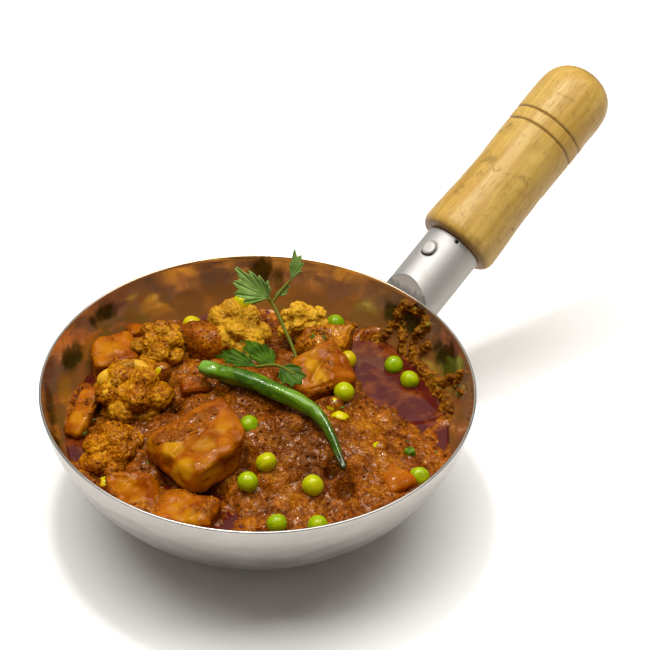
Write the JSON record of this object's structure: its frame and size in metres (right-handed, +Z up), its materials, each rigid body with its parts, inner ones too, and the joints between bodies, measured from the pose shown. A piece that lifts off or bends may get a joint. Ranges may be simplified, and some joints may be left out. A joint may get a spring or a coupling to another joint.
{
  "type": "aloo gobi in a handled steel pan",
  "caption": "Potato, cauliflower and pea curry with a green chilli and coriander, served in a small round-bottomed steel pan with a rising turned wooden handle.",
  "frame": {"origin": "centre of the bowl's flat base, on the surface it stands on", "axes": "+Z up; +X towards the handle, which rises over it; +Y to the left of the handle as seen from the bowl"},
  "size_m": [0.3036, 0.1798, 0.13],
  "materials": {
    "pan_steel": "satin outside, polished and food-stained inside",
    "socket_steel": "bright rolled sheet, lightly brushed along the tube",
    "grip_wood": "pale yellow-brown turned wood, worn varnish, small dents",
    "masala": "coarse, oily red-brown paste with a wet sparkle",
    "oil": "dark red still oil, mirror smooth",
    "potato": "cooked potato, orange-yellow, streaked with masala",
    "cauliflower": "turmeric-yellow curds browned with masala",
    "tomato": "soft red-orange bit",
    "pea": "glossy green, some olive",
    "chilli": "waxy dark green skin",
    "coriander": "matt fresh green leaf and paler stalk"
  },
  "bodies": {
    "root": {"pan_bowl": "pan_steel", "handle_socket": "socket_steel", "handle_grip": "grip_wood", "socket_rivet": "socket_steel", "green_chilli": "chilli", "coriander_standing": "coriander", "coriander_lying": "coriander", "pea_01": "pea", "pea_02": "pea", "pea_03": "pea", "pea_04": "pea", "pea_05": "pea", "pea_06": "pea", "pea_07": "pea", "pea_08": "pea", "pea_09": "pea", "pea_10": "pea", "pea_11": "pea", "pea_12": "pea", "pea_13": "pea", "pea_14": "pea", "pea_15": "pea", "pea_16": "pea", "pea_17": "pea", "pea_18": "pea", "pea_19": "pea", "pea_20": "pea", "potato_centre": "potato", "potato_low_left": "potato", "potato_low_middle": "potato", "potato_far_left": "potato", "potato_left_slice": "potato", "potato_right": "potato", "potato_near_right": "potato", "potato_far_bit": "potato", "cauliflower_left": "cauliflower", "cauliflower_low_left": "cauliflower", "cauliflower_upper_left": "cauliflower", "cauliflower_far": "cauliflower", "cauliflower_far_right": "cauliflower", "cauliflower_stem": "cauliflower", "coated_lump_far": "masala", "coated_lump_middle": "masala", "tomato_bit": "tomato", "chilli_slice": "chilli", "oil_pool": "oil", "gravy": "masala"}
  },
  "joints": []
}
